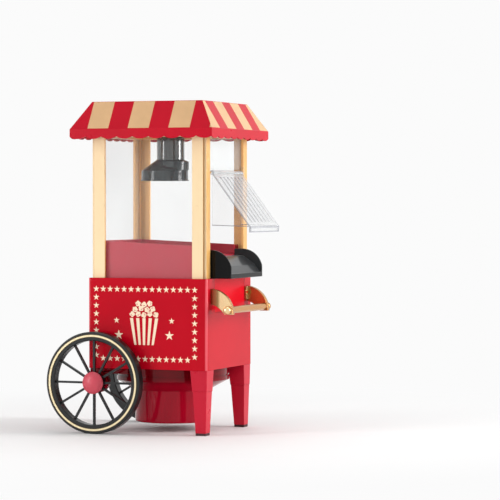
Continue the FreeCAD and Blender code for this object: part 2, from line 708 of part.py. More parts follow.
def make_popper():
    x = s.popper_x
    shaft_gap = s.shaft_radius + 0.08
    disc_z = s.can_base + 21.6
    mount = prism("mount_disc", "XY_Plane", [(0, 0, s.can_radius - s.shell_wall - 2 * s.seat_gap), (0, 0, 8)],
                  disc_z, disc_z + 2.4)
    gaps = pocket(mount, "XY_Plane", [rectangle((21, s.can_radius - 8), span(7))],
                  disc_z - 1, disc_z + 4)
    repeat_round(mount, gaps, 6)
    node("motor_bracket", place(mount, x))
    motor_z = disc_z + 2.4
    can = prism("motor_can", "XY_Plane", [(0, 0, s.motor_radius), (0, 0, shaft_gap)], motor_z, motor_z + 24)
    add_pad(can, "XY_Plane", [(0, 0, 7), (0, 0, shaft_gap)], motor_z + 24, motor_z + 26.5)
    node("motor", place(can, x))
    fan_z = s.can_base + 4
    node("motor_shaft", rod("shaft", s.shaft_radius, fan_z + 3, motor_z + 28, "Z", (x, 0)))
    fan = prism("fan", "XY_Plane", [(0, 0, s.fan_radius), (0, 0, s.shaft_radius + 0.02)],
                fan_z, fan_z + 1.8)
    add_pad(fan, "XY_Plane", [(0, 0, 7), (0, 0, s.shaft_radius + 0.02)], fan_z + 1, fan_z + 14)
    blade = add_pad(fan, "XY_Plane", [[(6, -0.8), (s.fan_radius - 0.5, -9), (s.fan_radius - 0.5, -7),
                                       (6, 1)]], fan_z + 1, fan_z + 13)
    repeat_round(fan, blade, 10)
    node("impeller", place(fan, x))
    make_heater(x)
    make_chamber(x)


def make_heater(x):
    low, high = s.box_floor - 12, s.chamber_base - 4
    reach = s.duct_radius - 1.6
    boards = []
    for tag, plane in (("a", "XZ_Plane"), ("b", "YZ_Plane")):
        shape = [(-46, low), (46, low), (46, plate_top), (reach, plate_top), (reach, plate_top + 3),
                 (46, plate_top + 3), (46, high), (-46, high), (-46, plate_top + 3),
                 (-reach, plate_top + 3), (-reach, plate_top), (-46, plate_top)]
        boards.append(prism("board_" + tag, plane, [shape], -0.6, 0.6))
    rings, seats = [], []
    for step in range(4):
        for group, tag, gap in ((rings, "ribbon", 0), (seats, "slot", s.seat_gap)):
            inner, outer, half = 33.6 - gap, 34.4 + gap, 1.2 + gap
            ribbon = [(inner, -half), (outer, -half), (outer, half), (inner, half)]
            group.append(lathe(f"{tag}_{step}", [ribbon], x, 0, low + 5 + step * 5))
    cross = fuse("boards_fused", *boards)
    place(cross, x)
    node("heater_frame", cut("boards_cut", cross, *seats))
    coil = doc.addObject("Part::Compound", "coil_rings")
    coil.Links = rings
    node("heater_coil", coil)


def make_chamber(x):
    outer, wall = s.chamber_radius, s.chamber_wall
    base = s.chamber_base
    rim = deck_z + (s.tray_left + s.tray_right) / 2 + 4
    seat = deck_z
    profile = [(0, base), (outer - 3, base), (outer, base + 3), (outer, seat), (outer + 9, seat),
               (outer + 9, seat + 1.4), (outer, seat + 1.4), (outer, rim), (outer - wall, rim),
               (outer - wall, base + 3.4), (outer - 3.4, base + wall), (0, base + wall)]
    cup = lathe("chamber", [profile])
    vents = pocket(cup, "YZ_Plane", [[(-1.2, base + 6), (1.2, base + 6), (4.2, base + 18), (1.8, base + 18)]],
                   0, outer + 5)
    repeat_round(cup, vents, 16)
    node("popping_chamber", place(cup, x))
    duct = s.duct_radius
    sleeve = prism("sleeve", "XY_Plane", [(0, 0, duct), (0, 0, duct - 1.2)],
                   plate_top, deck_z - s.box_wall - 0.2)
    node("air_duct", place(sleeve, x))
    ceiling = deck_z - s.box_wall - 0.2
    node("thermostat", rod("thermostat_can", 8, ceiling - 6.8, ceiling, "Z", (half_x - 12, half_y - 16)))
    make_board(-(half_x - 7), half_y - 28)


# The rectifier card lies flat on the base plate in the back left corner
def make_board(x, y):
    card = block("card", (x, x + 22), (y, y + 20), (plate_top, plate_top + 1.6))
    part_a = block("card_block", (x + 3, x + 11), (y + 3, y + 17), (plate_top + 1, plate_top + 10))
    part_b = rod("card_can", 3.5, plate_top + 1, plate_top + 13, "Z", (x + 16.5, y + 7))
    node("circuit_board", fuse("card_fused", card, part_a, part_b))


def make_switch():
    width, height = s.switch_width / 2, s.switch_height / 2
    middle, level = -40, s.switch_level
    back = half_y

    def slab(name, w, h, y):
        return block(name, (middle - w, middle + w), y, (level - h, level + h))

    frame = fuse("bezel_fused", slab("bezel_face", width + 2, height + 2.5, (back, back + 1.8)),
                 slab("bezel_sleeve", width - 0.2, height - 0.2, (back - 12, back + 1)))
    node("switch_bezel", cut("bezel_cut", frame,
                             slab("bezel_hole", width - 1, height - 1, (back - 10, back + 3))))
    reach = height - 1.7
    profile = [(-4, -reach), (2.6, -reach), (1.4, 0), (2.6, reach), (-4, reach)]
    rocker = prism("rocker", "YZ_Plane", [[(as_size(y), z) for y, z in profile]], -width + 1.4, width - 1.4)
    node("switch_rocker", rocker)
    place(rocker, middle, back + 1, level, Rotation(Vector(1, 0, 0), s.rocker_tilt.value))
    gland = lathe("gland", [[(3.4, -8), (5.5, -8), (5.5, 0), (8, 0), (8, 2.2), (6.6, 3.6), (3.4, 3.6)]],
                  40, back, 100, along_y)
    node("cord_gland", gland)


def export_all():
    doc.recompute()
    for item in doc.Objects:
        if "Invalid" in item.State or "Error" in item.State:
            raise RuntimeError(f"{item.Name} did not compute: {item.State}")
    for item in nodes:
        shape = item.Shape
        if shape.isNull() or not shape.isValid():
            raise RuntimeError(f"{item.Label} has no valid shape")
        shape.exportStep(f"parts/{item.Label}.step")
        print(item.Label, len(shape.Solids), round(shape.Volume / 1000, 2))


make_body()
make_frame()
make_flap()
make_roof()
make_feed()
make_hood()
make_tray()
make_chute()
make_handle()
make_wheels()
make_legs()
make_housing()
make_popper()
make_switch()
export_all()
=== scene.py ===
import bpy
import math
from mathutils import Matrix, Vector


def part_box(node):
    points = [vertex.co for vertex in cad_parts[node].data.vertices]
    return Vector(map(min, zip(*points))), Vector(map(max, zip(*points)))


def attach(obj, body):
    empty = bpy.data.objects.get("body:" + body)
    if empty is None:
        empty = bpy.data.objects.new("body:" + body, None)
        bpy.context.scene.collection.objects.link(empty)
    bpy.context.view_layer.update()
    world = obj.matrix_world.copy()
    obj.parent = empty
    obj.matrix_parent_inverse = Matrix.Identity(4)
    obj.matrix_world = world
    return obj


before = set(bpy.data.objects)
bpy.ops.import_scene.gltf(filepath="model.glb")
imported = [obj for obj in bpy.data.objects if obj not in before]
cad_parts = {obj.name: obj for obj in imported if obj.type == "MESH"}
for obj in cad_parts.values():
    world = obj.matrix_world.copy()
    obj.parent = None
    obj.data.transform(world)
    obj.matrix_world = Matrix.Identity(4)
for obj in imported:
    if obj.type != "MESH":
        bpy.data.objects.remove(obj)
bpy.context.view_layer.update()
mm = 0.001


# a socket that can be used in plain Python sums
class Wire:
    def __init__(self, paint, socket):
        self.paint = paint
        self.socket = socket

    def sum(self, operation, first, second):
        return self.paint.node("ShaderNodeMath", {"operation": operation}, {0: first, 1: second})

    def __add__(self, other):
        return self.sum("ADD", self, other)

    def __radd__(self, other):
        return self.sum("ADD", other, self)

    def __sub__(self, other):
        return self.sum("SUBTRACT", self, other)

    def __rsub__(self, other):
        return self.sum("SUBTRACT", other, self)

    def __mul__(self, other):
        return self.sum("MULTIPLY", self, other)

    def __rmul__(self, other):
        return self.sum("MULTIPLY", other, self)

    def __truediv__(self, other):
        return self.sum("DIVIDE", self, other)

    def __rtruediv__(self, other):
        return self.sum("DIVIDE", other, self)

    def __pow__(self, other):
        return self.sum("POWER", self, other)

    def __mod__(self, other):
        return self.sum("FLOORED_MODULO", self, other)

    def __gt__(self, other):
        return self.sum("GREATER_THAN", self, other)

    def __lt__(self, other):
        return self.sum("LESS_THAN", self, other)

    def __abs__(self):
        return self.sum("ABSOLUTE", self, 0.0)

    def most(self, other):
        return self.sum("MAXIMUM", self, other)


# one material: a Principled shader and the nodes that feed it
class Paint:
    noiseSpan = (0.3, 0.7)  # most of a noise lies in here

    def __init__(self, name, **fixed):
        self.material = bpy.data.materials.new(name)
        self.material.use_nodes = True
        self.tree = self.material.node_tree
        self.tree.nodes.clear()
        self.output = self.tree.nodes.new("ShaderNodeOutputMaterial")
        self.shader = self.tree.nodes.new("ShaderNodeBsdfPrincipled")
        self.tree.links.new(self.shader.outputs[0], self.output.inputs[0])
        self.where = None
        for socket, value in fixed.items():
            self.feed(socket.replace("_", " "), value)

    def node(self, kind, settings=None, sockets=None, out=0):
        made = self.tree.nodes.new(kind)
        for key, value in (settings or {}).items():
            if key == "stops":
                self.stops(made.color_ramp, value)
            else:
                setattr(made, key, value)
        for key, value in (sockets or {}).items():
            self.plug(made.inputs[key], value)
        return Wire(self, made.outputs[out])

    def stops(self, ramp, stops):
        while len(ramp.elements) < len(stops):
            ramp.elements.new(0.5)
        for element, (at, colour) in zip(ramp.elements, stops):
            element.position = at
            element.color = colour

    # a link where the value comes from a node, a plain setting where it doesn't
    def plug(self, socket, value):
        if isinstance(value, Wire):
            self.tree.links.new(value.socket, socket)
        else:
            socket.default_value = value

    def feed(self, socket, value):
        self.plug(self.shader.inputs[socket], value)

    # what feeds a socket of the shader so far
    def fed(self, socket):
        return Wire(self, self.shader.inputs[socket].links[0].from_socket)

    def spot(self):
        if self.where is None:
            self.where = self.node("ShaderNodeTexCoord", out="Object")
        return self.where

    def parts(self, vector):
        split = self.node("ShaderNodeSeparateXYZ", None, {0: vector})
        return [Wire(self, socket) for socket in split.socket.node.outputs]

    def axes(self):
        return self.parts(self.spot())

    def normal(self):
        return self.parts(self.node("ShaderNodeNewGeometry", out="Normal"))

    def noise(self, scale, detail=4.0, rough=0.55, stretch=None, bend=0.0):
        where = self.spot()
        if stretch:
            where = self.node("ShaderNodeVectorMath", {"operation": "MULTIPLY"}, {0: where, 1: stretch})
        return self.node("ShaderNodeTexNoise", None, {"Vector": where, "Scale": scale, "Detail": detail,
                                                      "Roughness": rough, "Distortion": bend})

    # a noise spread from low to high
    def blotch(self, value, low=0.0, high=1.0):
        return self.node("ShaderNodeMapRange", {"clamp": True},
                         {0: value, 1: self.noiseSpan[0], 2: self.noiseSpan[1], 3: low, 4: high})

    # smooth from 0 to 1 between two values
    def step(self, value, low, high):
        return self.node("ShaderNodeMapRange", {"clamp": True, "interpolation_type": "SMOOTHSTEP"},
                         {0: value, 1: low, 2: high, 3: 0.0, 4: 1.0})

    def mix(self, amount, first, second):
        return self.node("ShaderNodeMix", {"data_type": "RGBA"}, {0: amount, 6: first, 7: second}, out=2)

    def bump(self, height, strength, distance):
        return self.node("ShaderNodeBump", None,
                         {"Strength": strength, "Distance": distance, "Height": height})

    # camera, mirror and see-through rays, which meet the white background
    def seen(self):
        kinds = ("Is Camera Ray", "Is Glossy Ray", "Is Transmission Ray")
        camera, glossy, through = [self.node("ShaderNodeLightPath", out=kind) for kind in kinds]
        return camera.most(glossy).most(through)

    # plain white light laid over the shader by an amount
    def veil(self, amount, colour):
        glow = self.node("ShaderNodeEmission", None, {"Color": colour, "Strength": 1.0})
        body = Wire(self, self.shader.outputs[0])
        both = self.node("ShaderNodeMixShader", None, {0: amount, 1: body, 2: glow})
        self.plug(self.output.inputs[0], both)


# a colour in the 0 to 255 numbers of a picture program
def linear(red, green, blue):
    def one(value):
        value = value / 255
        return value / 12.92 if value <= 0.04045 else ((value + 0.055) / 1.055) ** 2.4
    return (one(red), one(green), one(blue), 1.0)


def shade(colour, amount):
    return (colour[0] * amount, colour[1] * amount, colour[2] * amount, 1.0)


def wear(*names, paint):
    for name in names:
        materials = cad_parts[name].data.materials
        materials.clear()
        materials.append(paint.material)


# moulded plastic: faint flow marks, smudges in the gloss and a fine skin
mouldLook = {"coat": 0.0, "coatRough": 0.06, "shine": 0.5, "index": 1.5, "drift": 0.08, "cloud": 9.0,
             "smudge": 42.0, "patchy": (0.9, 1.12), "grain": 1900.0, "skin": 0.02, "depth": 0.4 * mm}


def plastic(name, look):
    look = {**mouldLook, **look}
    paint = Paint(name, IOR=look["index"], Coat_Weight=look["coat"], Coat_Roughness=look["coatRough"],
                  Specular_IOR_Level=look["shine"])
    flow = paint.blotch(paint.noise(look["cloud"]))
    smudge = paint.noise(look["smudge"])
    grain = paint.noise(look["grain"], detail=2.0)
    dark = shade(look["colour"], 1 - look["drift"])
    light = shade(look["colour"], 1 + look["drift"])
    paint.feed("Base Color", paint.mix(flow, dark, light))
    paint.feed("Roughness", paint.blotch(smudge, *[look["rough"] * part for part in look["patchy"]]))
    paint.feed("Normal", paint.bump(grain, look["skin"], look["depth"]))
    return paint


print("settings and helpers ready")

# cart box, with a painted highlight of pale red down its upright corners
boxLook = {"colour": linear(188, 3, 28), "rough": 0.2, "coat": 0.03, "shine": 0.1,
           "rubAndHighlight": linear(236, 108, 118), "rubbedAndHighlight": 0.7, "corner": (0.2, 0.45)}


def boxShell():
    paint = plastic("boxRed", boxLook)
    nx, ny = paint.normal()[:2]
    # pale red on the rounded upright edges: a painted highlight
    corner = paint.step(abs(nx * ny), *boxLook["corner"]) * boxLook["rubbedAndHighlight"]
    paint.feed("Base Color", paint.mix(corner, paint.fed("Base Color"), boxLook["rubAndHighlight"]))
    return paint


boxPaint = boxShell()
wear("body_shell", paint=boxPaint)
panelLook = {"colour": linear(214, 10, 34), "rough": 0.24, "shine": 0.05}
wear("outlet_panel", paint=plastic("panelRed", panelLook))
trayLook = {"colour": linear(182, 30, 54), "rough": 0.34}
wear("popcorn_tray", paint=plastic("trayRed", trayLook))
ceilingLook = {"colour": linear(150, 20, 38), "rough": 0.4}
wear("ceiling_plate", paint=plastic("ceilingRed", ceilingLook))
legLook = {"colour": linear(190, 20, 46), "rough": 0.3, "coat": 0.03, "shine": 0.2}
wear("leg_front", "leg_back", paint=plastic("legRed", legLook))
capLook = {"colour": linear(196, 66, 82), "rough": 0.42, "coat": 0.1, "skin": 0.05}
wear("hub_cap_front", "hub_cap_back", paint=plastic("capRed", capLook))

# base can and brackets, with a painted shadow of deeper red on the collar under the box
baseLook = {"colour": linear(152, 6, 32), "rough": 0.1, "coat": 0.05, "shine": 0.17,
            "collarShadow": linear(104, 2, 14), "collar": (57 * mm, 68 * mm)}


def basePaint():
    paint = plastic("baseRed", baseLook)
    height = paint.axes()[2]
    # darker red at collar height: painted shadow under the box
    collar = paint.step(height, *baseLook["collar"])
    paint.feed("Base Color", paint.mix(collar, paint.fed("Base Color"), baseLook["collarShadow"]))
    return paint


wear("motor_housing", "intake_grille", "axle_bracket_front", "axle_bracket_back", "base_plate",
     paint=basePaint())
print("red mouldings painted")

# posts and top frame: gold with a random worn tone; cream on the front faces of the front posts as
# painted light, the gold on the other faces as painted shade, a lighter gold inside as painted light and
# a dark groove as painted shade
postLook = {"colour": linear(243, 216, 172), "rough": 0.3, "coat": 0.08, "skin": 0.03, "drift": 0.04,
            "shine": 0.35, "paintedLightFacing": (0.3, 0.95), "front": -50 * mm,
            "gold": linear(224, 172, 100), "rubAndHighlight": 22.0, "rubbedAndHighlight": 0.95,
            "inside": linear(246, 188, 116), "inward": (10 * mm, 40 * mm),
            "groove": linear(150, 104, 50), "grooveX": (73.2 * mm, 73.8 * mm), "grooveY": 67.3 * mm}


def postPaint():
    look = postLook
    paint = plastic("postCream", look)
    nx, ny = paint.normal()[:2]
    x, y = paint.axes()[:2]
    rubAndHighlight = paint.blotch(paint.noise(look["rubAndHighlight"]))
    gold = paint.mix(rubAndHighlight, shade(look["gold"], look["rubbedAndHighlight"]), look["gold"])
    # inner faces a lighter gold: painted light
    inward = paint.step(0 - nx * x - ny * y, *look["inward"])
    gold = paint.mix(inward, gold, look["inside"])
    # cream on the front faces of the front posts: painted light; the gold left on the other faces is
    # painted shade
    pale = paint.step(0 - ny, *look["paintedLightFacing"]) * (y < look["front"])
    body = paint.mix(pale, gold, paint.fed("Base Color"))
    left, right = look["grooveX"]
    # a brown line in the groove: painted shade
    grooveShadeMask = (abs(x) > left) * (abs(x) < right) * (abs(y) > look["grooveY"])
    paint.feed("Base Color", paint.mix(grooveShadeMask, body, look["groove"]))
    return paint


wear("post_front_left", "post_front_right", "post_back_left", "post_back_right", "top_frame",
     paint=postPaint())
cupLook = {"colour": linear(232, 214, 180), "rough": 0.35}
wear("measuring_cup", paint=plastic("cupCream", cupLook))

# canopy: stripes straight down the slopes, red on the flat top and the scalloped rim
canopyLook = {"colour": linear(186, 3, 32), "rough": 0.3, "coat": 0.03, "shine": 0.16,
              "beige": linear(212, 172, 128), "dust": 30.0, "dusty": (0.94, 1.05),
              "pitch": 54.2 * mm, "stripe": 28.0 * mm, "shift": 2.7 * mm, "blur": 0.15 * mm,
              "lowLine": 376.4 * mm, "topLine": 409.7 * mm}


def stripeMask(paint, along, across, shift):
    pitch = canopyLook["pitch"]
    blur = canopyLook["blur"]
    wave = abs((along + shift) % pitch - pitch / 2)
    inStripe = paint.step(canopyLook["stripe"] / 2 - wave, -blur, blur)
    return inStripe * (abs(across) > abs(along))


def canopyPaint():
    look = canopyLook
    paint = plastic("canopyStripes", look)
    x, y, z = paint.axes()
    front = stripeMask(paint, x, y, look["pitch"] / 2 + look["shift"])
    side = stripeMask(paint, y, x, 0.0)
    beige = front.most(side) * (z < look["topLine"]) * (z > look["lowLine"])
    dust = paint.blotch(paint.noise(look["dust"]))
    stripe = paint.mix(dust, *[shade(look["beige"], part) for part in look["dusty"]])
    paint.feed("Base Color", paint.mix(beige, paint.fed("Base Color"), stripe))
    return paint


wear("canopy", paint=canopyPaint())
print("posts and canopy painted")

# clear panes and flap: thin, slightly smudged, brighter at a glancing angle, partly from the pane's
# gloss and partly a painted sheen of its lit tint
clearLook = {"tint": linear(226, 234, 233), "index": 1.49, "alpha": 0.025, "edge": 0.4, "blend": 0.35,
             "smear": 14.0, "bend": 0.8, "smudged": 0.02, "rough": (0.03, 0.09)}


def clearPaint(name, alpha, edge):
    look = clearLook
    paint = Paint(name, Base_Color=look["tint"], IOR=look["index"])
    glance = paint.node("ShaderNodeLayerWeight", None, {"Blend": look["blend"]}, out="Facing")
    smear = paint.noise(look["smear"], detail=5.0, rough=0.6, bend=look["bend"])
    # alpha rises at a glancing angle, so the lit tint shows as a painted sheen along with the gloss
    paint.feed("Alpha", alpha + glance * glance * edge + paint.blotch(smear, 0.0, look["smudged"]))
    paint.feed("Roughness", paint.blotch(smear, *look["rough"]))
    return paint


wear("window_front", "window_back", "window_left", "window_right",
     paint=clearPaint("clearPane", clearLook["alpha"], clearLook["edge"]))

# the flap's ribs, lip and cut edges read as grey lines, fainter towards the back
flapLook = {"alpha": 0.03, "edge": 1.1, "clear": linear(206, 208, 208), "line": linear(118, 120, 134),
            "lineFrom": (0.08, 0.2), "far": 0.45,
            "pivot": (76 * mm, 322 * mm), "open": math.radians(37), "half": 48.5 * mm, "long": 84 * mm,
            "pitch": 12 * mm, "reach": 40 * mm, "ends": 7 * mm, "above": 0.6 * mm,
            "rib": 0.3, "ribWide": 0.8 * mm,
            "dot": 0.5, "dotWide": 1.2 * mm, "dotEnd": 9.5 * mm,
            "side": 0.5, "sideWide": 0.3 * mm, "sideDeep": 1.1 * mm,
            "hem": 0.4, "hemWide": 1.1 * mm, "hemAt": (-39 * mm, 52 * mm), "hemSlope": (0.625, 0.781),
            "cheek": 1.7 * mm, "lip": 0.07, "lipFrom": 0.8 * mm,
            "rim": 0.35, "rimTop": 0.2 * mm, "rimLow": 4.1 * mm, "rimSide": 1 * mm}


def flapPaint():
    look = flapLook
    half, long, pitch = look["half"], look["long"], look["pitch"]
    # a stronger glancing alpha here: the lit pale tint shows as a painted sheen
    paint = clearPaint("clearFlap", look["alpha"], look["edge"])
    x, y, z = paint.axes()
    out = x - look["pivot"][0]
    up = z - look["pivot"][1]
    level, steep = math.cos(look["open"]), math.sin(look["open"])
    across = out * level + up * steep
    down = out * steep - up * level
    toRib = abs((y + pitch / 2) % pitch - pitch / 2)
    onPlate = (down > look["ends"]) * (down < long - look["ends"])
    onPlate = onPlate * (across > look["above"]) * (abs(y) < look["reach"])
    rib = (toRib < look["ribWide"]) * onPlate * look["rib"]
    dot = (toRib < look["dotWide"]) * onPlate * (down < look["dotEnd"]) * look["dot"]
    side = (abs(y) > half - look["sideWide"]) * (across > -look["sideDeep"]) * look["side"]
    hemAcross = (across - look["hemAt"][0]) * look["hemSlope"][0]
    hemDown = (down - look["hemAt"][1]) * look["hemSlope"][1]
    hem = (abs(y) > half - look["cheek"]) * (hemAcross - hemDown < look["hemWide"]) * look["hem"]
    onLip = down > long - look["lipFrom"]
    onRim = (down > long + look["rimLow"]).most(down < long + look["rimTop"])
    onRim = onRim.most(abs(y) > half - look["rimSide"])
    fade = 1 - paint.step(y, -half, half) * (1 - look["far"])
    line = (rib.most(dot).most(side) * fade).most(hem)
    line = line.most(onLip * look["lip"]).most(onLip * onRim * look["rim"])
    paint.feed("Base Color", paint.mix(paint.step(line, *look["lineFrom"]), look["clear"], look["line"]))
    paint.feed("Alpha", paint.fed("Alpha") + line)
    return paint


wear("serving_flap", paint=flapPaint())

# feed tube and hood: dark grey gloss
tubeLook = {"colour": linear(10, 12, 14), "rough": 0.05, "coat": 1.0, "skin": 0.008, "drift": 0.1}
wear("feed_tube", paint=plastic("tubeGrey", tubeLook))
hoodLook = {"colour": linear(24, 28, 33), "rough": 0.16, "coat": 0.15, "skin": 0.015, "drift": 0.1,
            "shine": 0.35}
wear("kettle_hood", paint=plastic("hoodGrey", hoodLook))

# chute: glossy black outside; inside painted a lighter grey as painted light, with a satin coat on the
# slide, and the flat deck paler as a painted reflection
chuteLook = {"colour": linear(12, 12, 13), "rough": 0.06, "drift": 0.15, "shine": 0.14,
             "inside": linear(50, 52, 53), "half": 51.6 * mm, "nose": 0.9,
             "deck": linear(124, 128, 128), "flat": (0.88, 0.98),
             "slope": (0.15, 0.5), "slideCoat": 0.4, "slideRough": 0.26}


def chutePaint():
    look = chuteLook
    paint = plastic("chuteBlack", look)
    nx, ny, nz = paint.normal()
    across = paint.axes()[1]
    inside = (abs(across) < look["half"]) * (nx < look["nose"])
    slide = paint.step(nz, *look["slope"])
    deck = paint.step(nz, *look["flat"])
    # the inside painted lighter grey: painted light
    grey = paint.mix(inside, paint.fed("Base Color"), look["inside"])
    # flat faces inside painted paler: a painted reflection
    paint.feed("Base Color", paint.mix(deck * inside, grey, look["deck"]))
    paint.feed("Coat Weight", slide * look["slideCoat"])
    paint.feed("Roughness", paint.fed("Roughness") + slide * look["slideRough"])
    return paint


wear("chute", paint=chutePaint())
switchLook = {"colour": linear(24, 24, 26), "rough": 0.4}
wear("switch_bezel", "switch_rocker", "cord_gland", paint=plastic("switchBlack", switchLook))
footLook = {"colour": linear(56, 22, 24), "rough": 0.7, "skin": 0.2, "drift": 0.2}
wear("foot_front", "foot_back", paint=plastic("footRubber", footLook))

# wheels: black with a cream-gold band on the raised bead, darkened towards its edges as painted shade
wheelLook = {"colour": linear(26, 28, 29), "rough": 0.3, "coat": 0.1, "skin": 0.05, "drift": 0.12,
             "shine": 0.3, "hub": (-64.4 * mm, 63 * mm), "inner": 56.6 * mm, "outer": 59.7 * mm,
             "face": 95.3 * mm, "band": linear(240, 224, 184), "rubAndHighlight": 160.0, "rubbedAndHighlight": 0.9,
             "bandEdgeShade": linear(150, 122, 72), "edge": (0.35, 1.0), "metal": 0.55}


def wheelPaint():
    look = wheelLook
    paint = plastic("wheelBlack", look)
    x, y, z = paint.axes()
    dx = x - look["hub"][0]
    dz = z - look["hub"][1]
    radius = (dx * dx + dz * dz) ** 0.5
    band = (radius > look["inner"]) * (radius < look["outer"]) * (abs(y) > look["face"])
    rubAndHighlight = paint.blotch(paint.noise(look["rubAndHighlight"]))
    foil = paint.mix(rubAndHighlight, shade(look["band"], look["rubbedAndHighlight"]), look["band"])
    middle = (look["inner"] + look["outer"]) / 2
    half = (look["outer"] - look["inner"]) / 2
    # the band darkens towards both its edges: painted shade of the rounded bead
    foil = paint.mix(paint.step(abs(radius - middle) / half, *look["edge"]), foil, look["bandEdgeShade"])
    paint.feed("Base Color", paint.mix(band, paint.fed("Base Color"), foil))
    paint.feed("Metallic", band * look["metal"])
    return paint


wear("wheel_front", "wheel_back", paint=wheelPaint())

# handle: gold-coloured, lightly brushed along the bar; the arms carry painted shade at the root, a
# painted reflection of the red box on their outer faces and a painted highlight at the tip and on the
# flat root faces
handleLook = {"gold": linear(188, 136, 80), "metal": 0.75, "index": 1.5, "rough": 0.22,
              "patchy": (0.92, 1.1), "brush": 260.0, "stretch": (1.0, 0.06, 1.0), "skin": 0.006,
              "depth": 0.1 * mm, "cloud": 16.0, "cloudy": 0.12, "tarnish": 0.7,
              "root": 80 * mm, "tip": 104 * mm, "dark": 0.62, "paintedTipLight": 1.16, "paintedTipLightFrom": 0.92,
              "arm": [(0.0, linear(140, 58, 36)), (0.25, linear(156, 84, 52)),
                      (0.4, linear(152, 118, 76)), (0.52, linear(234, 198, 150)),
                      (1.0, linear(240, 210, 160))],
              "outward": (15 * mm, 45 * mm),
              "pale": linear(238, 202, 150), "plate": 0.15, "plateFacing": 0.7}


def handlePaint():
    look = handleLook
    paint = Paint("handleGold", Metallic=look["metal"], IOR=look["index"])
    brush = paint.noise(look["brush"], rough=0.6, stretch=look["stretch"])
    cloud = paint.noise(look["cloud"], detail=3.0)
    x, y = paint.axes()[:2]
    nx, ny = paint.normal()[:2]
    along = (x - look["root"]) / (look["tip"] - look["root"])
    # gold darkened at the root and brightened towards the tip: painted shade and painted highlight
    paintedTipLight = paint.step(along, 0.0, look["paintedTipLightFrom"])
    gold = paint.mix(paintedTipLight, shade(look["gold"], look["dark"]), shade(look["gold"], look["paintedTipLight"]))
    # outer faces of the arms go from dark red-brown at the root to pale at the tip: a painted reflection
    # of the red box and a painted highlight
    arm = paint.node("ShaderNodeValToRGB", {"stops": look["arm"]}, {0: along})
    gold = paint.mix(paint.step(ny * y, *look["outward"]), gold, arm)
    # faces turned to the right near the root painted pale: painted light
    gold = paint.mix((nx > look["plateFacing"]) * (along < look["plate"]), gold, look["pale"])
    tarnish = shade(look["gold"], look["tarnish"])
    paint.feed("Base Color", paint.mix(paint.blotch(cloud, 0.0, look["cloudy"]), gold, tarnish))
    paint.feed("Roughness", paint.blotch(brush, *[look["rough"] * part for part in look["patchy"]]))
    paint.feed("Normal", paint.bump(brush, look["skin"], look["depth"]))
    return paint


wear("handle_bar", "handle_bracket_front", "handle_bracket_back", paint=handlePaint())

# bare metals, each with the way its marks are drawn out
metalLook = {"lines": 420.0, "cloud": 25.0, "dull": 0.85, "patchy": (0.7, 1.5), "skin": 0.06,
             "depth": 0.2 * mm}
metals = {
    "screwBrass": {"colour": linear(246, 216, 140), "rough": 0.16, "stretch": (1.0, 1.0, 1.0),
                   "on": ["handle_screws"]},
    "turnedSteel": {"colour": linear(196, 196, 200), "rough": 0.3, "stretch": (1.0, 0.2, 1.0),
                    "on": ["axle_front", "axle_back", "motor_shaft", "thermostat"]},
    "polishedPin": {"colour": linear(236, 238, 240), "rough": 0.1, "stretch": (1.0, 0.1, 1.0),
                    "on": ["flap_hinge_pin"]},
    "drawnAluminium": {"colour": linear(206, 207, 210), "rough": 0.32, "stretch": (1.0, 1.0, 0.05),
                       "on": ["popping_chamber"]},
    "platedSheet": {"colour": linear(170, 172, 176), "rough": 0.38, "stretch": (1.0, 1.0, 0.1),
                    "on": ["air_duct", "motor"]},
    "heaterWire": {"colour": linear(120, 112, 104), "rough": 0.45, "stretch": (1.0, 1.0, 1.0),
                   "on": ["heater_coil"]},
}


def metalPaint(name, look):
    look = {**metalLook, **look}
    paint = Paint(name, Metallic=1.0)
    lines = paint.noise(look["lines"], rough=0.6, stretch=look["stretch"])
    cloud = paint.blotch(paint.noise(look["cloud"]))
    paint.feed("Base Color", paint.mix(cloud, shade(look["colour"], look["dull"]), look["colour"]))
    paint.feed("Roughness", paint.blotch(lines, *[look["rough"] * part for part in look["patchy"]]))
    paint.feed("Normal", paint.bump(lines, look["skin"], look["depth"]))
    return paint


for metalName, metal in metals.items():
    wear(*metal["on"], paint=metalPaint(metalName, metal))

# plain mouldings and boards inside the base
fanLook = {"colour": linear(38, 38, 40), "rough": 0.5}
wear("impeller", "motor_bracket", paint=plastic("fanBlack", fanLook))
heaterLook = {"colour": linear(186, 168, 140), "rough": 0.6, "skin": 0.1, "drift": 0.15}
wear("heater_frame", paint=plastic("heaterBoard", heaterLook))
boardLook = {"colour": linear(36, 92, 52), "rough": 0.45, "skin": 0.05, "drift": 0.15}
wear("circuit_board", paint=plastic("boardGreen", boardLook))
print("clear, black, gold and metal parts painted")

# flat-sided mouldings have a small radius on every outside edge
edgeLook = {"join": 1e-6, "segments": 2, "angle": 35,
            "wide": 0.7 * mm, "wideOn": ["body_shell", "canopy", "chute", "leg_front", "leg_back"],
            "fine": 0.35 * mm, "fineOn": ["post_front_left", "post_front_right", "post_back_left",
                                          "post_back_right", "top_frame", "outlet_panel",
                                          "handle_bracket_front", "handle_bracket_back",
                                          "axle_bracket_front", "axle_bracket_back",
                                          "switch_bezel", "switch_rocker"]}


def soften(names, width):
    for name in names:
        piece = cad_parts[name]
        join = piece.modifiers.new("joinFaces", "WELD")
        join.merge_threshold = edgeLook["join"]
        edge = piece.modifiers.new("softEdge", "BEVEL")
        edge.width = width
        edge.segments = edgeLook["segments"]
        edge.limit_method = "ANGLE"
        edge.angle_limit = math.radians(edgeLook["angle"])
        edge.harden_normals = True


soften(edgeLook["wideOn"], edgeLook["wide"])
soften(edgeLook["fineOn"], edgeLook["fine"])
print("edges softened")


